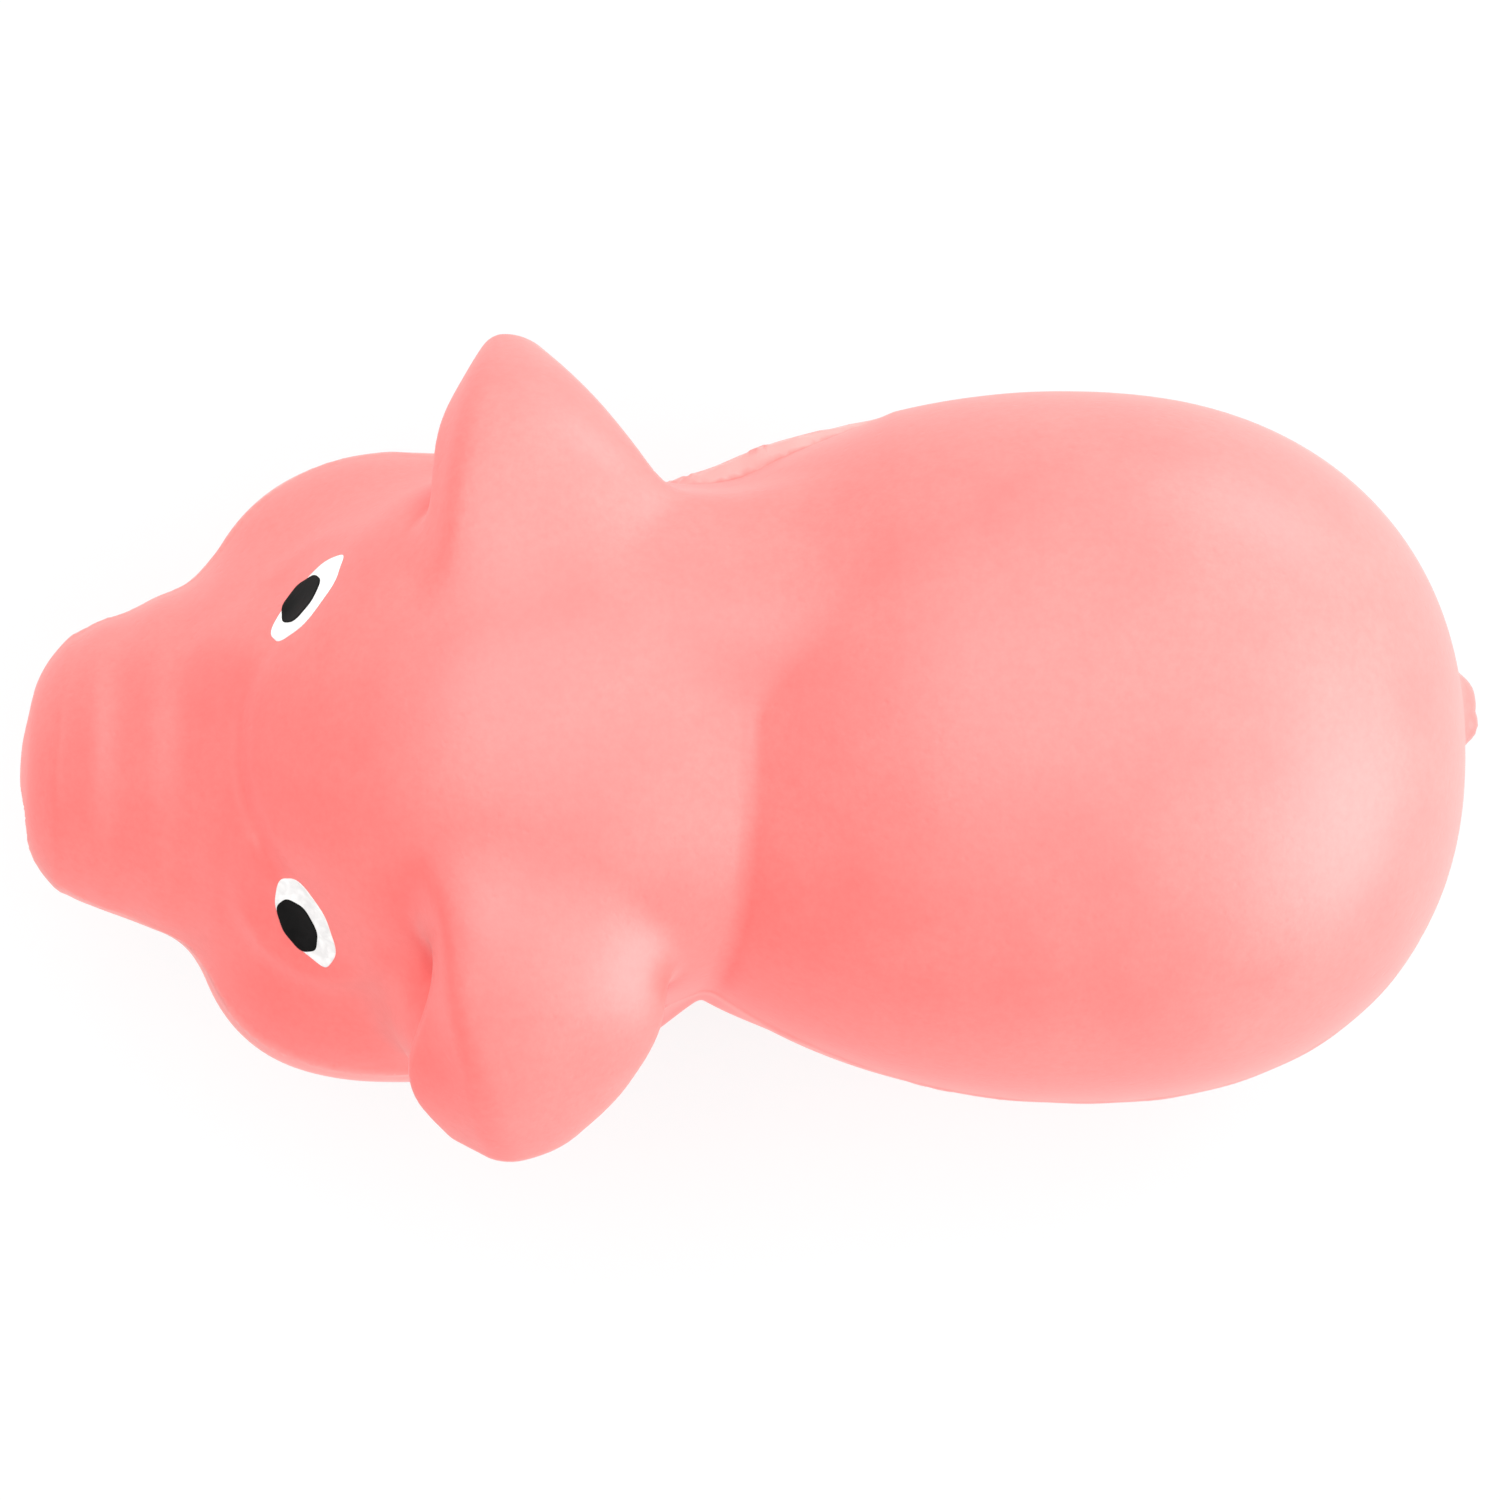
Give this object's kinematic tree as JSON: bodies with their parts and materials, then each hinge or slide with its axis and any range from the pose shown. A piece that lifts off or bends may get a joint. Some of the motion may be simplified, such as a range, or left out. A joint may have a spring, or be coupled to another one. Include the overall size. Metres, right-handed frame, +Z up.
{
  "type": "foam pig squeeze toy",
  "caption": "Soft pink foam pig that stands on stub legs: it is squeezed in the hand, and its back, snout, neck, ears and legs give and spring back.",
  "frame": {"origin": "middle of the toy's length and width, on the floor it stands on", "axes": "+Z up, snout towards -X, rump towards +X, the pig's right side towards +Y"},
  "size_m": [0.0956, 0.0536, 0.0489],
  "materials": {
    "foam_skin": "satin self-skinned polyurethane foam",
    "foam_core": "matt open-cell foam",
    "white_paint": "flexible paint, satin",
    "black_paint": "flexible paint, satin"
  },
  "bodies": {
    "torso": {"torso_skin": "foam_skin", "torso_core": "foam_core", "tail": "foam_skin"},
    "back": {"back_skin": "foam_skin"},
    "neck": {"neck_core": "foam_core"},
    "head": {"head_skin": "foam_skin", "head_core": "foam_core", "snout_bridge": "foam_skin", "eye_white_left": "white_paint", "eye_white_right": "white_paint", "pupil_left": "black_paint", "pupil_right": "black_paint"},
    "snout": {"snout_tip": "foam_skin"},
    "ear_left": {"ear_left": "foam_skin"},
    "ear_right": {"ear_right": "foam_skin"},
    "leg_front_left": {"leg_front_left": "foam_skin"},
    "leg_front_right": {"leg_front_right": "foam_skin"},
    "leg_rear_left": {"leg_rear_left": "foam_skin"},
    "leg_rear_right": {"leg_rear_right": "foam_skin"}
  },
  "joints": [
    {"name": "back_press", "type": "slide", "parent": "torso", "child": "back", "axis": [0, 0, -1], "range_m": [0, 0.006], "stiffness_N_per_m": 60, "deforming": ["torso_core"]},
    {"name": "neck_turn", "type": "hinge", "parent": "torso", "child": "neck", "pos_m": [-0.00458, 0, 0.028], "axis": [0, 0, 1], "range_deg": [-8, 8], "stiffness_Nm_per_rad": 0.08},
    {"name": "neck_nod", "type": "hinge", "parent": "neck", "child": "head", "pos_m": [-0.00458, 0, 0.028], "axis": [0, 1, 0], "range_deg": [-6, 6], "stiffness_Nm_per_rad": 0.08},
    {"name": "snout_press", "type": "slide", "parent": "head", "child": "snout", "axis": [1, 0, 0], "range_m": [0, 0.0035], "stiffness_N_per_m": 40, "deforming": ["snout_bridge"]},
    {"name": "ear_left_lift", "type": "hinge", "parent": "head", "child": "ear_left", "pos_m": [-0.0135, -0.009, 0.043], "axis": [-1, 0, 0], "range_deg": [0, 22], "stiffness_Nm_per_rad": 0.003},
    {"name": "ear_right_lift", "type": "hinge", "parent": "head", "child": "ear_right", "pos_m": [-0.0135, 0.009, 0.043], "axis": [1, 0, 0], "range_deg": [0, 22], "stiffness_Nm_per_rad": 0.003},
    {"name": "leg_front_left_bend", "type": "hinge", "parent": "torso", "child": "leg_front_left", "pos_m": [0.00852, -0.0115, 0.01241], "axis": [0, 1, 0], "range_deg": [-10, 10], "stiffness_Nm_per_rad": 0.01},
    {"name": "leg_front_right_bend", "type": "hinge", "parent": "torso", "child": "leg_front_right", "pos_m": [0.00852, 0.0115, 0.01241], "axis": [0, 1, 0], "range_deg": [-10, 10], "stiffness_Nm_per_rad": 0.01},
    {"name": "leg_rear_left_bend", "type": "hinge", "parent": "torso", "child": "leg_rear_left", "pos_m": [0.03152, -0.0115, 0.01211], "axis": [0, 1, 0], "range_deg": [-10, 10], "stiffness_Nm_per_rad": 0.01},
    {"name": "leg_rear_right_bend", "type": "hinge", "parent": "torso", "child": "leg_rear_right", "pos_m": [0.03152, 0.0115, 0.01211], "axis": [0, 1, 0], "range_deg": [-10, 10], "stiffness_Nm_per_rad": 0.01}
  ]
}
